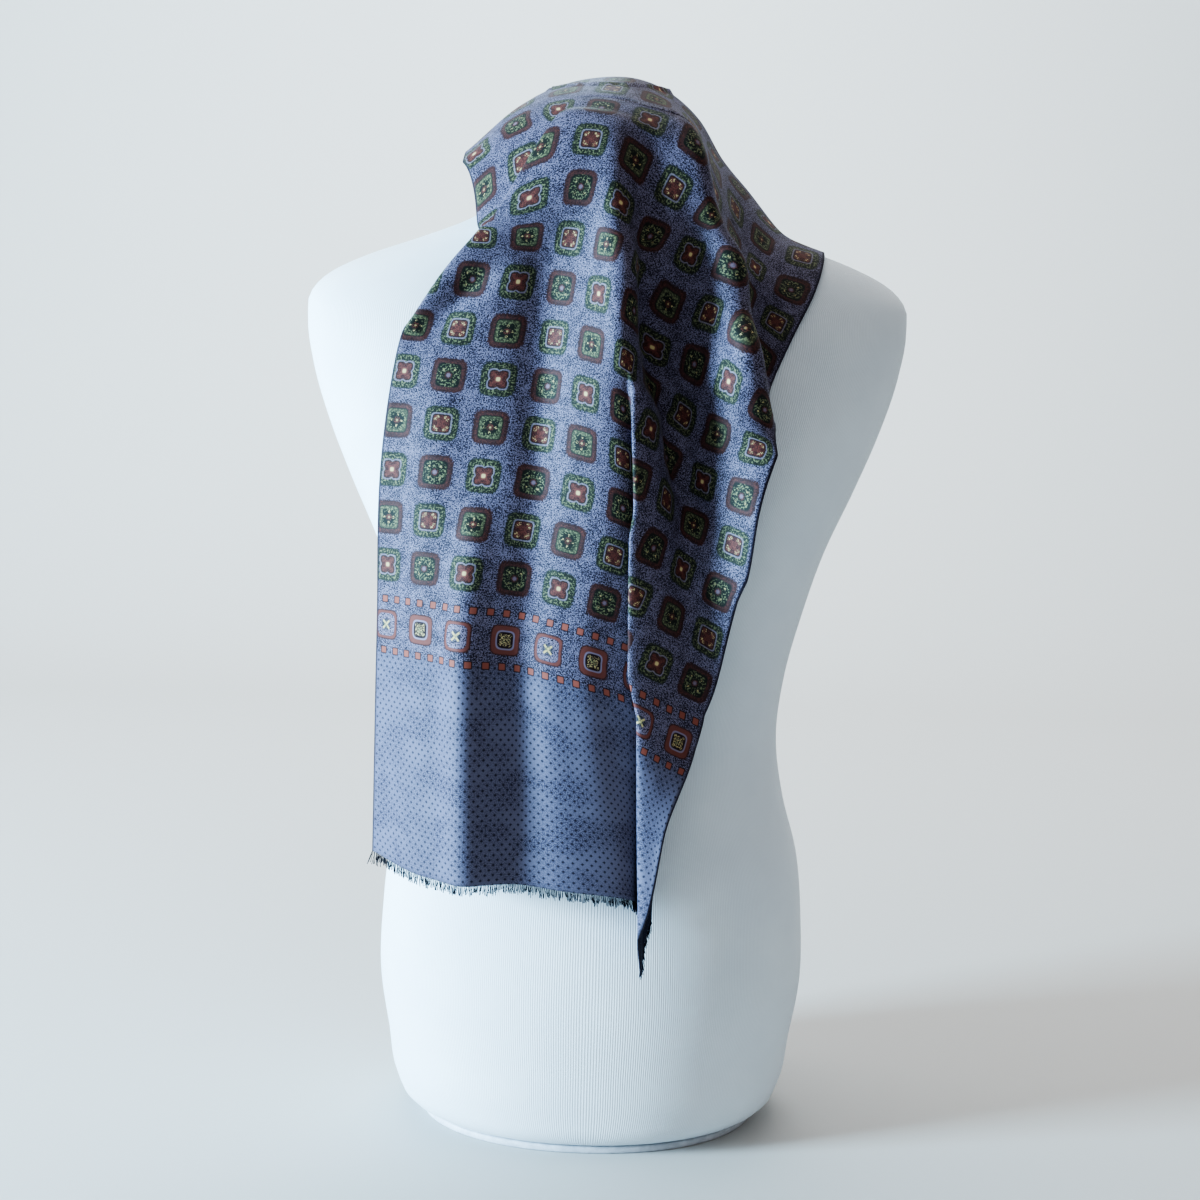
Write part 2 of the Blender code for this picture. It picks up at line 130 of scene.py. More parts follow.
# ---- Base board -----------------------------------------------------------
# A thin oval board closes the form underneath and is what it stands on.
# It is plain painted board with a softened edge; only its rim shows.
board = bpy.data.materials.new("base board")
board.use_nodes = True
board_shader = board.node_tree.nodes["Principled BSDF"]
board_shader.inputs["Roughness"].default_value = 0.55
board_grain = board.node_tree.nodes.new("ShaderNodeTexNoise")
board_grain.inputs["Scale"].default_value = 180.0
board_grain.inputs["Detail"].default_value = 4.0
board_place = board.node_tree.nodes.new("ShaderNodeTexCoord")
board.node_tree.links.new(board_place.outputs["Object"], board_grain.inputs["Vector"])
board_tone = board.node_tree.nodes.new("ShaderNodeValToRGB")
board_tone.color_ramp.elements[0].position = 0.35
board_tone.color_ramp.elements[0].color = (0.50, 0.53, 0.58, 1)
board_tone.color_ramp.elements[1].position = 0.70
board_tone.color_ramp.elements[1].color = (0.62, 0.65, 0.70, 1)
board.node_tree.links.new(board_grain.outputs["Fac"], board_tone.inputs["Fac"])
board.node_tree.links.new(board_tone.outputs["Color"], board_shader.inputs["Base Color"])

# The form from the board up: height, half width, depth in front, depth behind,
# all in millimetres, and squareness, where 2 is an oval.
FORM_LEVELS = np.array((
    (5.3, 117, 89, 84, 2.1),
    (12, 127, 97, 95, 2.15),
    (27, 135, 101, 104, 2.2),
    (60, 141, 104, 109, 2.2),
    (100, 147, 106, 114, 2.2),
    (145, 146, 104, 115, 2.2),
    (190, 141, 99, 109, 2.2),
    (230, 130, 93, 98, 2.2),
    (271, 124, 88, 89, 2.2),
    (315, 128, 90, 86, 2.2),
    (357, 138, 98, 89, 2.2),
    (400, 151, 107, 95, 2.25),
    (445, 170, 114, 101, 2.3),
    (480, 184, 110, 104, 2.3),
    (520, 196, 94, 104, 2.4),
    (550, 200, 78, 97, 2.5),
    (567, 198, 68, 88, 2.4),
    (580, 185, 62, 80, 2.2),
    (592, 160, 59, 74, 2.0),
    (604, 126, 61, 70, 1.8),
    (616, 95, 66, 66, 1.8),
    (630, 73, 71, 60, 1.9),
    (650, 61, 72, 52, 2.0),
    (670, 57, 69, 46, 2.0),
    (684, 50, 60, 41, 2.0),
    (694, 38, 44, 32, 2.0),
    (700, 24, 27, 20, 2.0),
    (703, 10, 11, 8, 2.0),
))
NECK_TOP = 704 * MM


def curve_slopes(knots, values):
    """Slopes of a smooth curve through values at rising knots."""
    step = np.diff(knots)[:, None]
    rise = np.diff(values, axis=0) / step
    middle = (rise[:-1] * step[1:] + rise[1:] * step[:-1]) / (step[1:] + step[:-1])
    return np.concatenate((rise[:1], middle, rise[-1:]))


def curve_at(knots, values, places):
    """Points of the smooth curve through values, one for each place."""
    slopes = curve_slopes(knots, values)
    i = np.clip(np.searchsorted(knots, places) - 1, 0, len(knots) - 2)
    step = (knots[i + 1] - knots[i])[:, None]
    t = (places - knots[i])[:, None] / step
    held = np.clip(t, 0, 1)
    inner = ((2 * held**3 - 3 * held**2 + 1) * values[i] + (held**3 - 2 * held**2 + held) * step * slopes[i]
             + (3 * held**2 - 2 * held**3) * values[i + 1] + (held**3 - held**2) * step * slopes[i + 1])
    return inner + np.minimum(t, 0) * step * slopes[i] + np.maximum(t - 1, 0) * step * slopes[i + 1]


def form_level(heights):
    """Half width, front, back and squareness of the form at each height."""
    level = curve_at(FORM_LEVELS[:, 0] * MM, FORM_LEVELS[:, 1:], heights)
    return level[:, 0] * MM, level[:, 1] * MM, level[:, 2] * MM, level[:, 3]


def finished_piece(mesh, name):
    """Links a finished mesh to the scene as a smooth object at the origin."""
    data = bpy.data.meshes.new(name)
    mesh.to_mesh(data)
    mesh.free()
    data.shade_smooth()
    piece = bpy.data.objects.new(name, data)
    bpy.context.scene.collection.objects.link(piece)
    return piece


BOARD_THICK = 5 * MM
BOARD_EDGE = 1.6 * MM
BOARD_SEGMENTS = 160
FORM_LOW = FORM_LEVELS[0, 0]
FORM_HIGH = FORM_LEVELS[-1, 0]
board_mesh = bmesh.new()
bmesh.ops.create_cone(board_mesh, cap_ends=True, segments=BOARD_SEGMENTS, radius1=1.0, radius2=1.0,
                      depth=BOARD_THICK)
half, front, back, square = (float(c[0]) for c in form_level(np.array([FORM_LOW * MM])))
for vertex in board_mesh.verts:
    angle = math.atan2(vertex.co.y, vertex.co.x)
    c = math.cos(angle)
    s = math.sin(angle)
    vertex.co.x = half * math.copysign(abs(c) ** (2 / square), c)
    vertex.co.y = (back if s > 0 else front) * math.copysign(abs(s) ** (2 / square), s)
    vertex.co.z += 0.5 * BOARD_THICK
rims = [e for e in board_mesh.edges if abs(e.verts[0].co.z - e.verts[1].co.z) < 1e-6]
bmesh.ops.bevel(board_mesh, geom=rims, offset=BOARD_EDGE, segments=3, profile=0.5, affect="EDGES",
                material=-1)
base_board = finished_piece(board_mesh, "base_board")
base_board.data.materials.append(board)
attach(base_board, "root")
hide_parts("base_plate")


# ---- Dress form -----------------------------------------------------------
# A limbless torso, a hollow shell with firm padding, pulled into a close white
# knitted cover whose ribs run up and down.  Its neck and armholes are closed
# with rounded ends.  It stands on the board, and the scarf rests on it.
jersey = bpy.data.materials.new("white rib jersey")
jersey.use_nodes = True
knit = jersey.node_tree
knit_shader = knit.nodes["Principled BSDF"]
knit_shader.inputs["Roughness"].default_value = 0.82
knit_shader.inputs["Sheen Weight"].default_value = 0.25
knit_shader.inputs["Sheen Roughness"].default_value = 0.5
knit_shader.inputs["Specular IOR Level"].default_value = 0.25
knit_place = knit.nodes.new("ShaderNodeUVMap")
knit_place.uv_map = "round_and_up"
rib_scale = knit.nodes.new("ShaderNodeMapping")
rib_scale.inputs["Scale"].default_value = (620, 260, 1)
knit.links.new(knit_place.outputs["UV"], rib_scale.inputs["Vector"])
rib = knit.nodes.new("ShaderNodeTexWave")
rib.wave_type = "BANDS"
rib.bands_direction = "X"
rib.inputs["Scale"].default_value = 0.318
rib.inputs["Distortion"].default_value = 0.6
rib.inputs["Detail"].default_value = 1.0
rib.inputs["Detail Scale"].default_value = 0.6
knit.links.new(rib_scale.outputs["Vector"], rib.inputs["Vector"])
knit_mottle = knit.nodes.new("ShaderNodeTexNoise")
knit_mottle.inputs["Scale"].default_value = 14.0
knit_mottle.inputs["Detail"].default_value = 5.0
knit_object = knit.nodes.new("ShaderNodeTexCoord")
knit.links.new(knit_object.outputs["Object"], knit_mottle.inputs["Vector"])
knit_tone = knit.nodes.new("ShaderNodeValToRGB")
knit_tone.color_ramp.elements[0].position = 0.30
knit_tone.color_ramp.elements[0].color = (0.70, 0.77, 0.83, 1)
knit_tone.color_ramp.elements[1].position = 0.72
knit_tone.color_ramp.elements[1].color = (0.78, 0.85, 0.90, 1)
knit.links.new(knit_mottle.outputs["Fac"], knit_tone.inputs["Fac"])
# painted shade: the grooves between the ribs are made a tenth darker in colour
painted_rib_groove_shade = knit.nodes.new("ShaderNodeMix")
painted_rib_groove_shade.data_type = "RGBA"
painted_rib_groove_shade.blend_type = "MULTIPLY"
painted_rib_groove_shade.inputs[0].default_value = 0.10
knit.links.new(knit_tone.outputs["Color"], painted_rib_groove_shade.inputs[6])
knit.links.new(rib.outputs["Color"], painted_rib_groove_shade.inputs[7])
knit.links.new(painted_rib_groove_shade.outputs[2], knit_shader.inputs["Base Color"])
knit_bump = knit.nodes.new("ShaderNodeBump")
knit_bump.inputs["Strength"].default_value = 0.35
knit_bump.inputs["Distance"].default_value = 0.0004
knit.links.new(rib.outputs["Fac"], knit_bump.inputs["Height"])
knit.links.new(knit_bump.outputs["Normal"], knit_shader.inputs["Normal"])

# a ball, drawn out along the torso's profile from the neck down to the board
FORM_ROUND = 176
FORM_UP = 150
form_mesh = bmesh.new()
form_mesh.loops.layers.uv.new("round_and_up")
bmesh.ops.create_uvsphere(form_mesh, u_segments=FORM_ROUND, v_segments=FORM_UP, radius=1.0, calc_uvs=True)
profile = np.concatenate(([[NECK_TOP / MM, 0.0]], FORM_LEVELS[::-1, :2], [[FORM_LOW, 0.0]])) * MM
travel = np.concatenate(([0.0], np.cumsum(np.hypot(*np.diff(profile, axis=0).T))))
turns = np.array([math.atan2(v.co.y, v.co.x) for v in form_mesh.verts])
shares = np.array([math.acos(max(-1.0, min(1.0, v.co.z))) / math.pi for v in form_mesh.verts])
along_profile = shares * travel[-1]
bottom_start = travel[-2]
heights = np.interp(along_profile, travel, profile[:, 0])
half, front, back, square = form_level(np.clip(heights, FORM_LOW * MM, FORM_HIGH * MM))
tip = np.clip(along_profile / travel[1], 0, 1)
bottom = np.clip(1 - (along_profile - bottom_start) / (travel[-1] - bottom_start), 0, 1)
shrink = np.minimum(tip, bottom)
c = np.cos(turns)
s = np.sin(turns)
xs = shrink * half * np.sign(c) * np.abs(c) ** (2 / square)
ys = shrink * np.where(s > 0, back, front) * np.sign(s) * np.abs(s) ** (2 / square)
for vertex, x, y, z in zip(form_mesh.verts, xs, ys, heights):
    vertex.co = (x, y, z)
bmesh.ops.recalc_face_normals(form_mesh, faces=form_mesh.faces[:])
form_piece = finished_piece(form_mesh, "form_cover")
form_piece.data.materials.append(jersey)
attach(form_piece, "root")
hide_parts("dress_form")


# ---- Scarf ----------------------------------------------------------------
# One straight length of light printed foulard, both long edges turned in and
# pressed.  It is laid over the capped neck, its right half is folded over its
# left down the front, and a dart-like tuck doubles it at the left of the neck.
SCARF_WIDTH = 0.300
SCARF_LENGTH = 1.134
CLOTH_THICK = 1.0 * MM
CLOTH_OFF_FORM = 2.2 * MM

# Where the eight points of a row lie across the cut cloth: shares of the way
# from the left edge to the tuck, then distances beyond it.
LEFT_SHARES = (0.0, 0.25, 0.60, 1.0)
BEYOND_RIDGE = (30 * MM, 61 * MM, 102 * MM, 136 * MM)

# How the cloth lies, a row for each distance along it from the front hem, with
# eight points (across, back, height) in millimetres: left edge, left quarter,
# left middle, ridge, near hollow, hollow, right crest, right edge.
SECTIONS = (
    ("under hem", -70, ((-145, -91, 137), (-112, -122, 130), (-54, -134, 128), (27, -124, 117),
                        (32, -112, 109), (39, -106, 101), (49, -103, 92), (57, -102, 84))),
    ("front hem", 0, ((-144, -92, 207), (-110, -122, 200), (-52, -134, 198), (24, -124, 188),
                      (30, -112, 181), (37, -106, 173), (45, -103, 164), (52, -103, 156))),
    ("border", 158, ((-142, -93, 358), (-105, -120, 358), (-48, -136, 354), (20, -132, 335),
                     (46, -124, 320), (73, -116, 306), (105, -112, 289), (132, -108, 273))),
    ("waist", 259, ((-139, -94, 457), (-101, -114, 457), (-45, -128, 454), (16, -140, 439),
                    (37, -128, 426), (58, -122, 411), (92, -138, 397), (120, -146, 386))),
    ("bust", 351, ((-126, -91, 547), (-90, -102, 545), (-35, -112, 543), (13, -134, 529),
                   (31, -114, 513), (50, -108, 495), (78, -128, 483), (106, -140, 475))),
    ("collar", 413, ((-113, -92, 597), (-77, -97, 601), (-26, -101, 603), (22, -123, 586),
                     (38, -99, 564), (64, -111, 559), (87, -129, 539), (102, -100, 505))),
    ("throat", 444, ((-102, -78, 587), (-76, -90, 610), (-20, -103, 634), (29, -108, 607),
                     (51, -98, 595), (75, -107, 586), (88, -90, 550), (106, -78, 521))),
    ("brow", 506, ((-95, -50, 650), (-60, -62, 675), (-9, -80, 684), (50, -86, 660),
                   (65, -79, 634), (79, -68, 606), (100, -60, 584), (131, -53, 569))),
    ("top", 567, ((-94, 10, 657), (-59, -8, 691), (2, -24, 707), (52, -30, 683),
                  (67, -24, 660), (84, -16, 641), (114, -6, 612), (144, 4, 600))),
    ("crown", 600, ((-91, 44, 648), (-58, 26, 692), (4, 8, 711), (57, 2, 685),
                    (74, 10, 660), (94, 18, 638), (122, 30, 606), (146, 38, 586))),
    ("nape", 650, ((-90, 88, 622), (-62, 74, 660), (0, 57, 694), (58, 50, 672),
                   (76, 60, 648), (92, 70, 620), (118, 86, 584), (136, 92, 560))),
    ("shoulder blades", 760, ((-90, 116, 522), (-62, 124, 556), (-10, 116, 592), (44, 126, 572),
                              (58, 114, 546), (76, 122, 520), (98, 128, 488), (114, 136, 462))),
    ("small of back", 950, ((-92, 122, 334), (-66, 140, 364), (-20, 122, 404), (34, 144, 388),
                            (50, 124, 364), (68, 142, 338), (84, 128, 306), (96, 136, 278))),
    ("back hem", 1134, ((-94, 126, 152), (-70, 150, 180), (-26, 126, 222), (26, 154, 208),
                        (42, 128, 184), (60, 150, 158), (74, 130, 124), (84, 138, 96))),
)
ALONG_KNOTS = np.array([row[1] for row in SECTIONS]) * MM
SECTION_POINTS = np.array([row[2] for row in SECTIONS], dtype=float).reshape(len(SECTIONS), -1) * MM

# The long tuck down the front: distance along the cloth, then how far from the
# left edge it passes behind and how far its ridge lies.  Equal means open.
RIDGE_TUCK = np.array((
    (0, 182, 309),
    (158, 189, 251),
    (259, 167, 205),
    (351, 164, 164),
    (1134, 164, 164),
)) * MM
TUCK_SLANT = 0.42
TUCK_ROUNDING = 2.5 * MM
TUCK_LAYER = 3.6 * MM
TUCK_BLEND = 60 * MM
TUCK_OPENS_BY = 3.2 * MM
# the hanging end of the tuck's top layer stands away to the right and forward
STRIP_FLARES_BELOW = 158 * MM
STRIP_FLARE = np.array((0.70, -1.20, 0.0))

# The tuck at the left of the neck closes at a point, and its two folds run from
# there down to the left edge.
DART_TIP = (79 * MM, 506 * MM)
DART_FRONT_LEAN = 0.51
DART_BACK_LEAN = 0.79
DART_LAYER = 3.2 * MM

# Softer folds: start and end (from the left edge, along the cloth), half width,
# and height, below zero for a trough.  Millimetres.
FOLDS = (
    ("bias ridge", (148, 520), (294, 382), 13, 9),
    ("valley beside the ridge", (136, 486), (190, 372), 12, -9),
    ("valley below the bust", (190, 372), (236, 286), 15, -8),
    ("ridge to the chest", (114, 482), (158, 350), 11, 4),
    ("hem trough", (118, -40), (112, 200), 15, -8),
    ("hem crest", (80, -40), (70, 230), 14, 11),
    ("waist trough", (112, 200), (86, 396), 14, -7),
    ("ridge foot", (160, 60), (150, 270), 12, 2),
    ("collar trough", (50, 388), (14, 346), 10, -7),
    ("left crest", (30, 330), (40, 150), 16, 3),
    ("right trough", (214, 320), (230, 150), 15, -5),
    ("right edge", (284, 350), (282, 200), 14, 4),
    ("back trough", (70, 1160), (80, 800), 20, -6),
    ("back crest", (130, 1160), (130, 840), 20, 6),
    ("back right trough", (246, 1160), (236, 820), 16, -5),
)


def across_curve(knots, values, places):
    """Points of a smooth curve through values, each place with its own knots."""
    step = np.diff(knots, axis=1)[:, :, None]
    rise = np.diff(values, axis=1) / step
    middle = (rise[:, :-1] * step[:, 1:] + rise[:, 1:] * step[:, :-1]) / (step[:, 1:] + step[:, :-1])
    slopes = np.concatenate((rise[:, :1], middle, rise[:, -1:]), axis=1)
    i = np.clip(np.sum(knots < places[:, None], axis=1) - 1, 0, knots.shape[1] - 2)
    row = np.arange(len(places))
    gap = (knots[row, i + 1] - knots[row, i])[:, None]
    t = (places - knots[row, i])[:, None] / gap
    held = np.clip(t, 0, 1)
    inner = ((2 * held**3 - 3 * held**2 + 1) * values[row, i]
             + (held**3 - 2 * held**2 + held) * gap * slopes[row, i]
             + (3 * held**2 - 2 * held**3) * values[row, i + 1]
             + (held**3 - held**2) * gap * slopes[row, i + 1])
    return inner + np.minimum(t, 0) * gap * slopes[row, i] + np.maximum(t - 1, 0) * gap * slopes[row, i + 1]


CAP_FALLS_OFF = 8 * MM


def form_share(points):
    """How far out each point lies from the form's middle line; 1 is on it."""
    top = FORM_HIGH * MM
    half, front, back, square = form_level(np.minimum(points[:, 2], top))
    depth = np.where(points[:, 1] < 0, front, back)
    level = np.abs(points[:, 0] / half) ** square + np.abs(points[:, 1] / depth) ** square
    return level ** (1 / square) + np.maximum(0, points[:, 2] - top) / CAP_FALLS_OFF


def clear_of_form(points):
    """Moves the points of the cloth that reach the form out to lie on it."""
    points = points.copy()
    low = FORM_LOW * MM
    high = FORM_HIGH * MM + CLOTH_OFF_FORM
    near = np.flatnonzero((points[:, 2] > low) & (points[:, 2] < high))
    step = 0.5 * MM
    for _ in range(6):
        place = points[near]
        here = form_share(place)
        slope = np.stack([(form_share(place + step * side) - form_share(place - step * side)) / (2 * step)
                          for side in np.eye(3)], axis=1)
        steep = np.linalg.norm(slope, axis=1)
        short = CLOTH_OFF_FORM - (here - 1) / steep
        moves = (short > 0.05 * MM) & (here > 0.2)
        near = near[moves]
        if not len(near):
            break
        points[near] += (slope / steep[:, None] * short[:, None])[moves]
    return points


def drape(across, along):
    """Points of the cloth before its tucks and small folds."""
    points = curve_at(ALONG_KNOTS, SECTION_POINTS, along).reshape(len(along), 8, 3)
    behind = np.interp(along, RIDGE_TUCK[:, 0], RIDGE_TUCK[:, 1])
    knots = np.stack([share * behind for share in LEFT_SHARES] + [behind + d for d in BEYOND_RIDGE], axis=1)
    return clear_of_form(across_curve(knots, points, across))


def outward(across, along):
    """Outward direction of the drape at each place."""
    step = 4 * MM
    run = drape(across + step, along) - drape(across - step, along)
    rise = drape(across, along + step) - drape(across, along - step)
    normal = np.cross(run, rise)
    return normal / np.linalg.norm(normal, axis=1, keepdims=True)


def fold_height(across, along):
    """Height of the small folds at each place, outward."""
    total = np.zeros(len(across))
    here = np.stack((across, along), axis=1)
    for name, start, end, half_width, height in FOLDS:
        a = np.array(start) * MM
        reach = np.array(end) * MM - a
        share = np.clip((here - a) @ reach / (reach @ reach), 0, 1)
        off = np.linalg.norm(here - (a + share[:, None] * reach), axis=1)
        taper = 0.35 + 0.65 * np.sin(np.pi * share) ** 0.5
        total += height * MM * taper * np.exp(-(off / (half_width * MM)) ** 2)
    return total


def rounded(distance):
    """Size of a distance from a fold, eased where the cloth turns round."""
    return np.sqrt(distance**2 + TUCK_ROUNDING**2)


def opened(overlap):
    """0 where a tuck has opened out flat, rising to 1 where it overlaps."""
    share = np.clip(overlap / TUCK_OPENS_BY, 0, 1)
    return share * share * (3 - 2 * share)


def ridge_tuck(along):
    """Places of the tuck's back fold and of its ridge, from the left edge."""
    behind = np.interp(along, RIDGE_TUCK[:, 0], RIDGE_TUCK[:, 1])
    ridge = np.interp(along, RIDGE_TUCK[:, 0], RIDGE_TUCK[:, 2])
    return 0.5 * (behind + ridge), ridge


def dart_folds(along):
    """Places of the doubled cloth's front and back folds at the neck."""
    below_tip = np.maximum(0, DART_TIP[1] - along)
    return DART_TIP[0] - DART_FRONT_LEAN * below_tip, DART_TIP[0] - DART_BACK_LEAN * below_tip


def cloth_points(across, along):
    """Points of the cloth's middle layer, tucks and folds included."""
    back_fold, ridge = ridge_tuck(along)
    under = across - back_fold
    over = across - ridge
    soft_under = rounded(under)
    soft_over = rounded(over)
    place = across - (under + soft_under) + (over + soft_over)
    drape_along = along - TUCK_SLANT * (across - place)
    layers = 0.5 * (1 + under / soft_under) + 0.5 * (1 + over / soft_over)
    fade = np.exp(-(np.maximum(0, over) / TUCK_BLEND) ** 2)
    lift = TUCK_LAYER * layers * opened(ridge - back_fold) * fade
    front_fold, hidden_fold = dart_folds(along)
    past_front = front_fold - place
    past_hidden = hidden_fold - place
    soft_front = rounded(past_front)
    soft_hidden = rounded(past_hidden)
    layers = 0.5 * (1 - past_front / soft_front) + 0.5 * (1 - past_hidden / soft_hidden)
    fade = np.exp(-(np.maximum(0, -past_front) / TUCK_BLEND) ** 2)
    lift = lift + DART_LAYER * layers * opened(front_fold - hidden_fold) * fade
    place = place + (past_front + soft_front) - (past_hidden + soft_hidden)
    lift = lift + fold_height(place, drape_along)
    points = drape(place, drape_along) + lift[:, None] * outward(place, drape_along)
    flare = np.maximum(0, 1 - along / STRIP_FLARES_BELOW) * np.maximum(0, over)
    return clear_of_form(points + flare[:, None] * STRIP_FLARE)


# the grid of the cloth, and how its columns crowd together at the folds
COLUMNS = 116
ROWS = 400
FINE_PLACES = 901
CROWD_WITHIN = 6 * MM
CROWD_AT_TUCK = 3.5
CROWD_AT_DART = 2.5
DART_STARTS = 335 * MM
DART_ENDS = 520 * MM


def crowded(along):
    """Places across one row of the cloth, closer together at its folds."""
    fine = np.linspace(0, SCARF_WIDTH, FINE_PLACES)
    weight = np.ones(FINE_PLACES)
    back_fold, ridge = ridge_tuck(np.array([along]))
    shut = float(np.clip((ridge[0] - back_fold[0]) / CROWD_WITHIN, 0, 1))
    for fold in (back_fold[0], ridge[0]):
        weight += CROWD_AT_TUCK * shut * np.exp(-((fine - fold) / CROWD_WITHIN) ** 2)
    if DART_STARTS < along < DART_ENDS:
        front_fold, hidden_fold = dart_folds(np.array([along]))
        for fold in (front_fold[0], hidden_fold[0]):
            weight += CROWD_AT_DART * np.exp(-((fine - fold) / CROWD_WITHIN) ** 2)
    total = np.concatenate(([0], np.cumsum(0.5 * (weight[1:] + weight[:-1]))))
    return np.interp(np.linspace(0, total[-1], COLUMNS + 1), total, fine)


cloth_mesh = bmesh.new()
bmesh.ops.create_grid(cloth_mesh, x_segments=COLUMNS, y_segments=ROWS, size=1.0)
cut_rows = [crowded(SCARF_LENGTH * r / ROWS) for r in range(ROWS + 1)]
flat = {}
for vertex in cloth_mesh.verts:
    column = round((vertex.co.x + 1) / 2 * COLUMNS)
    row = round((vertex.co.y + 1) / 2 * ROWS)
    flat[vertex.index] = (cut_rows[row][column], SCARF_LENGTH * row / ROWS)
cloth_mesh.verts.ensure_lookup_table()
uv = cloth_mesh.loops.layers.uv.new("cut_cloth")
for face in cloth_mesh.faces:
    for loop in face.loops:
        loop[uv].uv = flat[loop.vert.index]
places = np.array([flat[i] for i in range(len(cloth_mesh.verts))])
for vertex, point in zip(cloth_mesh.verts, cloth_points(places[:, 0], places[:, 1])):
    vertex.co = point
cloth = finished_piece(cloth_mesh, "scarf_cloth")


# The print is laid out in millimetres on the cut cloth: u across from the left
# edge and v along from the nearer hem.
class Measure:
    """A quantity that the print has at every point of the cloth."""

    tree = None

    def __init__(self, socket):
        self.socket = socket

    @classmethod
    def work(cls, operation, *values):
        """The outcome of one sum on quantities or plain numbers."""
        node = cls.tree.nodes.new("ShaderNodeMath")
        node.operation = operation
        for socket, value in zip(node.inputs, values):
            if isinstance(value, Measure):
                cls.tree.links.new(value.socket, socket)
            else:
                socket.default_value = value
        return cls(node.outputs[0])

    def __add__(self, other):
        return Measure.work("ADD", self, other)

    def __sub__(self, other):
        return Measure.work("SUBTRACT", self, other)

    def __rsub__(self, other):
        return Measure.work("SUBTRACT", other, self)

    def __mul__(self, other):
        return Measure.work("MULTIPLY", self, other)

    def __truediv__(self, other):
        return Measure.work("DIVIDE", self, other)

    def size(self):
        return Measure.work("ABSOLUTE", self)

    def least(self, other):
        return Measure.work("MINIMUM", self, other)

    def most(self, other):
        return Measure.work("MAXIMUM", self, other)

    def power(self, n):
        return Measure.work("POWER", self, n)

    def whole(self):
        return Measure.work("ROUND", self)

    def odd(self):
        """1 where a whole number is odd, else 0."""
        return Measure.work("PINGPONG", self, 1.0)

    def below(self, edge, soft=0.25):
        """1 where the quantity is under the edge, falling softly to 0."""
        node = Measure.tree.nodes.new("ShaderNodeMapRange")
        node.inputs["From Min"].default_value = edge - soft
        node.inputs["From Max"].default_value = edge + soft
        node.inputs["To Min"].default_value = 1.0
        node.inputs["To Max"].default_value = 0.0
        Measure.tree.links.new(self.socket, node.inputs["Value"])
        return Measure(node.outputs[0])

    def above(self, edge, soft=0.25):
        """1 where the quantity is over the edge, falling softly to 0."""
        return 1.0 - self.below(edge, soft)


def square_distance(x, y, sharpness):
    """Distance from a figure's middle to the rounded square through a point."""
    return (x.size().power(sharpness) + y.size().power(sharpness)).power(1.0 / sharpness)


def round_distance(x, y):
    """Distance from a figure's middle."""
    return (x * x + y * y).power(0.5)


def printed(ground, colour, where):
    """Prints a colour over what is there already."""
    node = Measure.tree.nodes.new("ShaderNodeMix")
    node.data_type = "RGBA"
    Measure.tree.links.new(where.socket, node.inputs[0])
    for slot_number, value in ((6, ground), (7, colour)):
        if isinstance(value, tuple):
            node.inputs[slot_number].default_value = (*value, 1.0)
        else:
            Measure.tree.links.new(value, node.inputs[slot_number])
    return node.outputs[2]


def ink(*shades):
    """A printed colour from its red, green and blue shades, 0 to 255."""
    return tuple(((shade / 255 + 0.055) / 1.055) ** 2.4 for shade in shades)


foulard = bpy.data.materials.new("printed foulard")
foulard.use_nodes = True
tree = foulard.node_tree
Measure.tree = tree
cut_place = tree.nodes.new("ShaderNodeUVMap")
cut_place.uv_map = "cut_cloth"
apart = tree.nodes.new("ShaderNodeSeparateXYZ")
tree.links.new(cut_place.outputs["UV"], apart.inputs[0])
MM_IN_METRE = 1000.0
u = Measure(apart.outputs[0]) * MM_IN_METRE
v_all = Measure(apart.outputs[1]) * MM_IN_METRE
v = v_all.least(SCARF_LENGTH * MM_IN_METRE - v_all)


def stipple(scale, detail, distortion=0.0, offset=0.0, stretch=1.0):
    """Fine uneven grain over the cloth, about 0 to 1; scale is per metre."""
    shift = tree.nodes.new("ShaderNodeMapping")
    shift.inputs["Location"].default_value = (offset, offset * 0.7, offset)
    shift.inputs["Scale"].default_value = (1.0, stretch, 1.0)
    tree.links.new(cut_place.outputs["UV"], shift.inputs["Vector"])
    grain = tree.nodes.new("ShaderNodeTexNoise")
    grain.inputs["Scale"].default_value = scale
    grain.inputs["Detail"].default_value = detail
    grain.inputs["Distortion"].default_value = distortion
    tree.links.new(shift.outputs["Vector"], grain.inputs["Vector"])
    return Measure(grain.outputs["Fac"])


# the layout of the print, from the left edge and from the nearer hem
REPEAT = 30.8
FIRST_COLUMN = 8.5
FIRST_ROW = 197.5
FIELD_STARTS = 182.5
BORDER_MIDDLE = 158.0
PANEL_ENDS = 141.0
SMALL_SQUARES_OFF = 17.0
FIRST_SMALL_SQUARE = 7.0
SPOT_ACROSS = 5.13
SPOT_ALONG = 3.25

# x and y run from the middle of the nearest figure
column_number = ((u - FIRST_COLUMN) / REPEAT).whole()
x = u - FIRST_COLUMN - column_number * REPEAT
row_number = ((v - FIRST_ROW) / REPEAT).whole()
y = v - FIRST_ROW - row_number * REPEAT
odd_column = column_number.size().odd()
odd_row = row_number.size().odd()
is_red = (odd_column - odd_row).size()

# the grains that break up the print, from threads to clouds
worms = stipple(1250.0, 1.5, 0.6)
fleck = stipple(1300.0, 1.0, 0.3, 3.0)
speckle = stipple(800.0, 1.0, 0.4, 9.0).above(0.55, 0.05)
fine_speckle = worms.above(0.53, 0.04)
mottle = stipple(120.0, 2.0, 0.0, 5.0)
cloud = stipple(34.0, 2.0, 0.5, 7.0, 1.3)

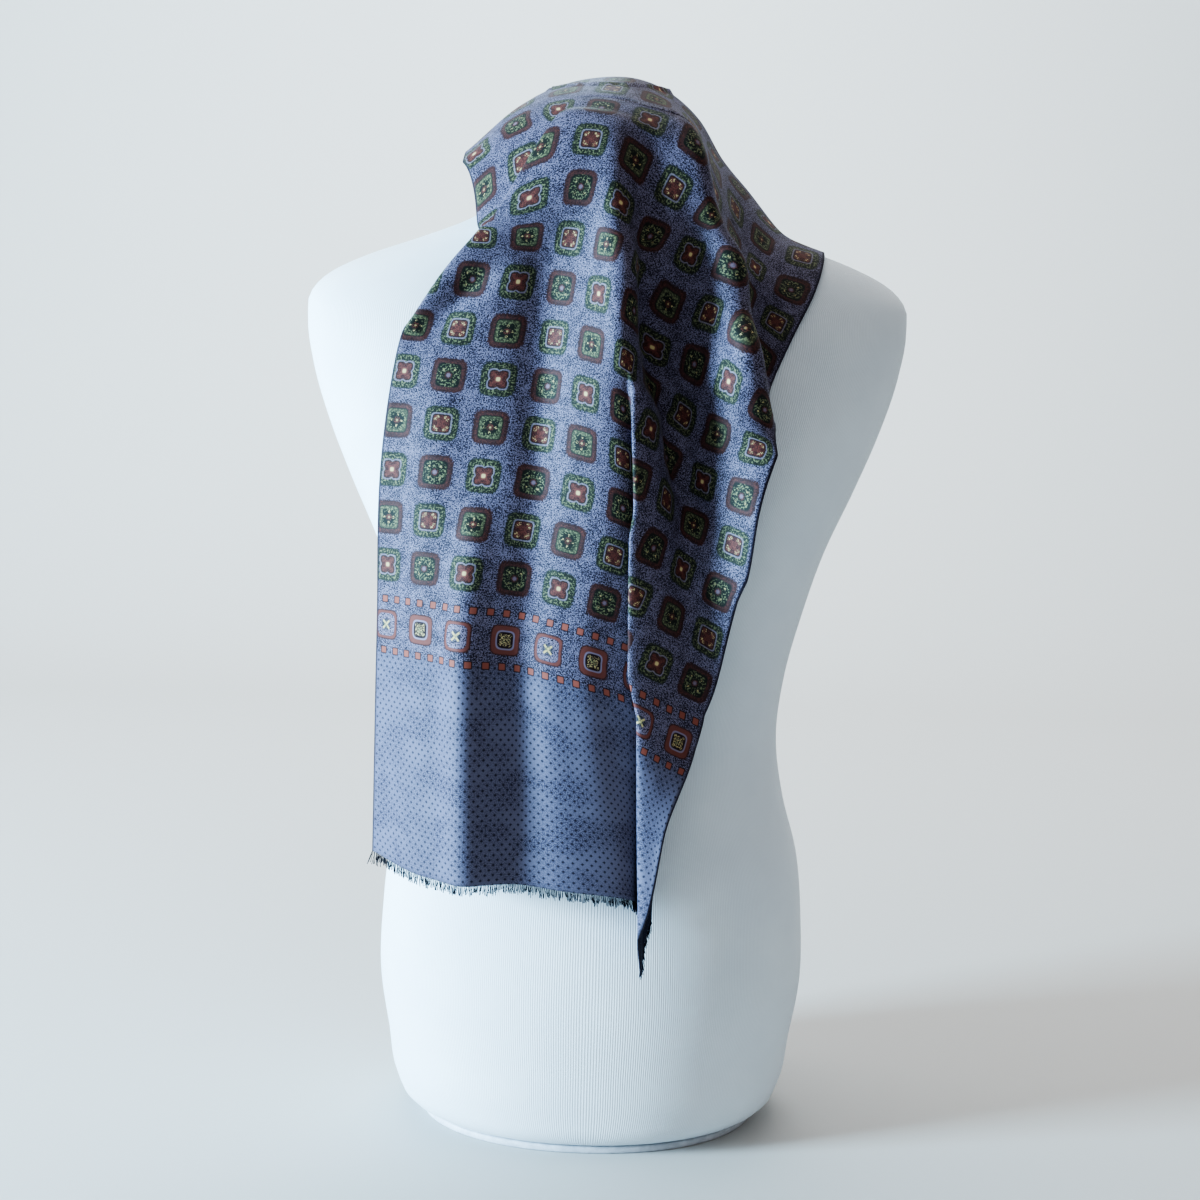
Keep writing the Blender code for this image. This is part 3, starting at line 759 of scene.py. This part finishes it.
# the inks
NAVY = ink(40, 36, 54)
PERIWINKLE = ink(123, 120, 145)
PALE = ink(132, 124, 146)
CREAM = ink(190, 176, 132)
DARK_GREEN = ink(36, 42, 40)
LEAF = ink(116, 122, 94)
MAROON = ink(48, 33, 39)
BRICK = ink(118, 71, 65)
DUSTY = ink(78, 56, 58)
RUST = ink(120, 74, 70)
SALMON = ink(146, 88, 78)
SKY = ink(112, 113, 137)
PLUM = ink(58, 56, 80)

# field ground: pale periwinkle closely stippled with navy
stippled = (worms + (mottle - 0.5) * 0.25).above(0.50, 0.07)
field = printed(NAVY, PERIWINKLE, stippled)

# the end panel below the border: sky blue, small navy spots, clouded patches
spot_row = (v / SPOT_ALONG).whole()
spot_y = v - spot_row * SPOT_ALONG
spot_u = u / SPOT_ACROSS + spot_row.odd() * 0.5
spot_x = (spot_u - spot_u.whole()) * SPOT_ACROSS
spot = (spot_x.size() + spot_y.size() + (fleck - 0.5) * 1.6).below(0.95, 0.35)
near_border = v.above(PANEL_ENDS - 7.0, 7.0)
clouded = (cloud.above(0.50, 0.12) * 0.75 + 0.2).most(near_border) * fleck.above(0.50, 0.06)
panel = printed(SKY, PLUM, clouded * 0.85)
panel = printed(panel, NAVY, spot * 0.9)
base = printed(field, panel, v.below(PANEL_ENDS, 0.5))

# The figures of the field, green-framed and red-framed by turns.  Distances are
# from a figure's middle: edge with a frayed outline, the others clean.
frayed = (worms - 0.5) * 2.4
edge = square_distance(x, y, 4.5) + frayed
near = round_distance(x, y)
inner = square_distance(x, y, 6.0)
diagonal = (x.size() - y.size()).size()
long_side = x.size().most(y.size())
short_side = x.size().least(y.size())
in_field = v.above(FIELD_STARTS, 0.1)
figure = edge.below(11.1, 0.5) * in_field

toward_corner = long_side * 0.5 + short_side * 0.5
leaf_dots = (speckle * 0.85 + fine_speckle * 0.12).least(1.0) * edge.below(10.2, 0.9)
frame_colour = printed(DARK_GREEN, LEAF, leaf_dots)
red_frame = printed(DUSTY, BRICK, (toward_corner.above(8.2, 1.5) * 0.6 + speckle * 0.5).least(1.0))
red_frame = printed(red_frame, MAROON, (edge.above(9.8, 0.9) + fine_speckle * 0.6).least(1.0) * 0.8)
round_wreath = printed(DARK_GREEN, LEAF, speckle * (near - 5.4).size().below(2.3, 0.6))
square_wreath = printed(DARK_GREEN, LEAF, (speckle * 0.7 + 0.3) * (inner - 6.1).size().below(0.9, 0.4))
square_wreath = printed(square_wreath, LEAF, speckle * (near - 5.4).size().below(1.0, 0.3))
red_middle = printed(round_wreath, square_wreath, odd_row)
red_dots = round_distance(x.size() - 3.6, y.size() - 3.6).below(0.75)
side_dots = round_distance(long_side - 3.4, short_side).below(0.85)
dots = red_dots * (1.0 - odd_row) + side_dots * odd_row
red_middle = printed(red_middle, BRICK, near.below(2.2, 0.6) * fleck.above(0.50, 0.06))
red_middle = printed(red_middle, PALE, near.below(1.3, 0.5) * (1.0 - odd_row) * 0.7)
red_middle = printed(red_middle, CREAM, near.below(0.7, 0.3) * odd_row * 0.7)
red_middle = printed(red_middle, CREAM, dots * fine_speckle)
red_figure = printed(red_frame, red_middle, inner.below(7.6, 0.4))

nick = (short_side.below(1.0, 0.8) * (1.0 - odd_row)) * 0.9
line_field = inner + nick
brick_cross = diagonal.below(1.6, 0.5) * 0.3 + 0.15 + fleck.above(0.52, 0.06) * 0.55
green_middle = printed(MAROON, BRICK, brick_cross * inner.below(5.2, 0.4))
green_middle = printed(green_middle, RUST, near.below(2.3, 0.5) * (1.0 - odd_row))
cream_spot = square_distance(x, y, 3.0).below(1.3, 0.3)
flecks = round_distance(long_side - 3.9, short_side - 2.4).below(0.95, 0.3)
green_middle = printed(green_middle, CREAM, cream_spot * (1.0 - odd_row))
green_middle = printed(green_middle, CREAM, flecks * fine_speckle * odd_row)
pale_ring = (line_field - 6.3).size().below(0.42, 0.3)
green_figure = printed(frame_colour, PALE, pale_ring * (fine_speckle * 0.3 + 0.7))
green_figure = printed(green_figure, green_middle, line_field.below(5.7, 0.2))
base = printed(base, printed(green_figure, red_figure, is_red), figure)

# the border row between two lines of small squares
border_y = v - BORDER_MIDDLE
border_edge = square_distance(x, border_y, 5.0) + frayed * 0.5
border_inner = square_distance(x, border_y, 4.0)
border_round = round_distance(x, border_y)
border_diagonal = (x.size() - border_y.size()).size()
border = border_edge.below(9.9, 0.3)
border_frame = printed(BRICK, RUST, fleck.above(0.47, 0.06))
border_frame = printed(border_frame, MAROON, border_edge.above(9.1, 0.3) * 0.8)
ringed = printed(border_frame, PALE, border_inner.below(6.3, 0.2))
ringed = printed(ringed, MAROON, border_inner.below(5.2, 0.2))
cross_and_ring = border_diagonal.below(1.6, 0.4) + (border_round - 3.2).size().below(0.6)
lobes = border_inner.below(4.5, 0.3) * cross_and_ring.least(1.0)
ringed = printed(ringed, CREAM, lobes * fine_speckle)
ringed = printed(ringed, LEAF, border_round.below(2.4) * speckle)
starred = printed(border_frame, NAVY, border_inner.below(7.5, 0.3))
starred = printed(starred, PALE, border_inner.below(7.4, 0.3) * worms.above(0.47, 0.05))
starred = printed(starred, DARK_GREEN, border_round.below(3.9, 0.4) * fine_speckle)
starred = printed(starred, CREAM, border_diagonal.below(0.9, 0.3) * border_round.below(3.8, 0.3))
starred = printed(starred, LEAF, border_round.below(2.2) * speckle)
base = printed(base, printed(starred, ringed, odd_column), border)
SQUARE_REPEAT = REPEAT / 3
square_u = (u - FIRST_SMALL_SQUARE) / SQUARE_REPEAT
square_x = (square_u - square_u.whole()) * SQUARE_REPEAT
line_y = border_y.size() - SMALL_SQUARES_OFF
small_square = square_distance(square_x, line_y, 8.0)
base = printed(base, MAROON, small_square.below(2.6, 0.25))
base = printed(base, SALMON, small_square.below(2.0, 0.2))

# both long edges, turned in and pressed
from_edge = u.least(SCARF_WIDTH * MM_IN_METRE - u)
base = printed(base, NAVY, from_edge.below(1.3, 0.5) * 0.8)

shader = tree.nodes["Principled BSDF"]
tree.links.new(base, shader.inputs["Base Color"])
shader.inputs["Roughness"].default_value = 0.62
shader.inputs["Specular IOR Level"].default_value = 0.3
shader.inputs["Sheen Weight"].default_value = 0.15
shader.inputs["Sheen Roughness"].default_value = 0.4
twill_place = tree.nodes.new("ShaderNodeMapping")
twill_place.inputs["Rotation"].default_value = (0, 0, math.radians(55))
tree.links.new(cut_place.outputs["UV"], twill_place.inputs["Vector"])
twill = tree.nodes.new("ShaderNodeTexWave")
twill.inputs["Scale"].default_value = 560.0
twill.inputs["Distortion"].default_value = 0.3
tree.links.new(twill_place.outputs["Vector"], twill.inputs["Vector"])
weave = tree.nodes.new("ShaderNodeBump")
weave.inputs["Strength"].default_value = 0.3
weave.inputs["Distance"].default_value = 0.0003
tree.links.new(twill.outputs["Fac"], weave.inputs["Height"])
tree.links.new(weave.outputs["Normal"], shader.inputs["Normal"])

# the reverse, where the ground dye shows through without the print; its near navy-black is partly that dye
# and partly painted shade
reverse = bpy.data.materials.new("foulard reverse")
reverse.use_nodes = True
back_tree = reverse.node_tree
back_shader = back_tree.nodes["Principled BSDF"]
back_shader.inputs["Roughness"].default_value = 0.7
back_shader.inputs["Specular IOR Level"].default_value = 0.25
back_place = back_tree.nodes.new("ShaderNodeUVMap")
back_place.uv_map = "cut_cloth"
back_grain = back_tree.nodes.new("ShaderNodeTexNoise")
back_grain.inputs["Scale"].default_value = 900.0
back_grain.inputs["Detail"].default_value = 2.0
back_tree.links.new(back_place.outputs["UV"], back_grain.inputs["Vector"])
# the dark ramp is the ground dye darkened further with painted shade
reverse_dye_and_painted_shade = back_tree.nodes.new("ShaderNodeValToRGB")
reverse_dye_and_painted_shade.color_ramp.elements[0].position = 0.42
reverse_dye_and_painted_shade.color_ramp.elements[0].color = (*ink(26, 28, 42), 1)
reverse_dye_and_painted_shade.color_ramp.elements[1].position = 0.62
reverse_dye_and_painted_shade.color_ramp.elements[1].color = (*ink(60, 64, 90), 1)
back_tree.links.new(back_grain.outputs["Fac"], reverse_dye_and_painted_shade.inputs["Fac"])
back_tree.links.new(reverse_dye_and_painted_shade.outputs["Color"], back_shader.inputs["Base Color"])

cloth.data.materials.append(foulard)
cloth.data.materials.append(reverse)
wall = cloth.modifiers.new("wall", "SOLIDIFY")
wall.thickness = CLOTH_THICK
wall.offset = 0.0
wall.use_rim = True
wall.material_offset = 1
wall.material_offset_rim = 0
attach(cloth, "root")
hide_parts("scarf")


# ---- Fringes --------------------------------------------------------------
# Both ends of the scarf are left raw: the last weft threads are drawn out and
# the warp ends stand as a short, soft, uneven fringe a few millimetres long.
YARN_SPACING = 0.36 * MM
YARN_THICK = 0.50 * MM
YARN_LENGTH = 6.2 * MM
YARN_ROOT_IN = 1.2 * MM
HEM_INSIDE = 2.5 * MM
CORNER_TUFT = 7 * MM
CORNER_TUFT_ADDS = 5 * MM

yarn_ends = bpy.data.materials.new("frayed yarn")
yarn_ends.use_nodes = True
yarn_tree = yarn_ends.node_tree
yarn_shader = yarn_tree.nodes["Principled BSDF"]
yarn_shader.inputs["Roughness"].default_value = 0.85
yarn_shader.inputs["Specular IOR Level"].default_value = 0.2
yarn_dye = yarn_tree.nodes.new("ShaderNodeAttribute")
yarn_dye.attribute_name = "dye"
yarn_tone = yarn_tree.nodes.new("ShaderNodeValToRGB")
yarn_tone.color_ramp.elements[0].position = 0.0
yarn_tone.color_ramp.elements[0].color = (*ink(26, 29, 42), 1)
yarn_tone.color_ramp.elements[1].position = 1.0
yarn_tone.color_ramp.elements[1].color = (*ink(58, 62, 80), 1)
yarn_tree.links.new(yarn_dye.outputs["Fac"], yarn_tone.inputs["Fac"])
yarn_tree.links.new(yarn_tone.outputs["Color"], yarn_shader.inputs["Base Color"])


def fringe(name, node, hem, seed):
    """A row of loose yarn ends along one hem."""
    one = bmesh.new()
    bmesh.ops.create_cone(one, cap_ends=True, segments=3, radius1=1.0, radius2=0.35, depth=1.0)
    lengthwise = [e for e in one.edges if abs(e.verts[0].co.z - e.verts[1].co.z) > 0.5]
    bmesh.ops.subdivide_edges(one, edges=lengthwise, cuts=3, use_grid_fill=True)
    template = bpy.data.meshes.new("yarn")
    one.to_mesh(template)
    one.free()
    shape = np.array([p.co[:] for p in template.vertices])
    chance = np.random.default_rng(seed)
    count = int(SCARF_WIDTH / YARN_SPACING)
    roots = (np.arange(count) + chance.uniform(0.2, 0.8, count)) * SCARF_WIDTH / count
    inside = hem + (HEM_INSIDE if hem == 0.0 else -HEM_INSIDE)
    tops = cloth_points(roots, np.full(count, hem))
    down = tops - cloth_points(roots, np.full(count, inside))
    down /= np.linalg.norm(down, axis=1, keepdims=True)
    beside = cloth_points(roots + 1 * MM, np.full(count, hem))
    beside -= cloth_points(roots - 1 * MM, np.full(count, hem))
    beside /= np.linalg.norm(beside, axis=1, keepdims=True)
    outside = np.cross(down, beside)
    outside /= np.linalg.norm(outside, axis=1, keepdims=True)
    tuft = np.sin(roots / MM * 0.9) + 0.6 * np.sin(roots / MM * 2.3 + 1)
    length = YARN_LENGTH + (0.9 * tuft + chance.uniform(-1.6, 1.6, count)) * MM
    lean = 0.12 * np.sin(roots / MM * 0.55) + chance.normal(0, 0.08, count)
    puff = chance.normal(0, 0.09, count)
    curl = chance.normal(0, 0.09, count)
    # the corner by the left selvage ends in a longer, darker tuft that turns outward
    corner = np.clip(1 - roots / CORNER_TUFT, 0, 1)
    length += corner * CORNER_TUFT_ADDS
    lean -= corner * 0.5
    tufts = bmesh.new()
    dye = tufts.verts.layers.float.new("dye")
    for i in range(count):
        tufts.from_mesh(template)
    reach = 0.5 - shape[:, 2]
    points = []
    for i in range(count):
        bent = (lean[i] + curl[i] * reach) * reach
        points.append(tops[i] - down[i] * YARN_ROOT_IN + np.outer(reach * length[i], down[i])
                      + np.outer(bent * length[i] + shape[:, 0] * 0.5 * YARN_THICK, beside[i])
                      + np.outer(puff[i] * reach * length[i] + shape[:, 1] * 0.5 * YARN_THICK, outside[i]))
    points = np.concatenate(points)
    shades = np.repeat(np.clip(chance.normal(0.42, 0.22, count) - corner * 0.4, 0, 1), len(shape))
    for vertex, point, shade in zip(tufts.verts, points, shades):
        vertex.co = point
        vertex[dye] = shade
    bmesh.ops.recalc_face_normals(tufts, faces=tufts.faces[:])
    piece = finished_piece(tufts, name)
    piece.data.materials.append(yarn_ends)
    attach(piece, "root")
    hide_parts(node)
    return piece


front_ends = fringe("front_fringe", "fringe_front", 0.0, 5)
back_ends = fringe("back_fringe", "fringe_back", SCARF_LENGTH, 9)
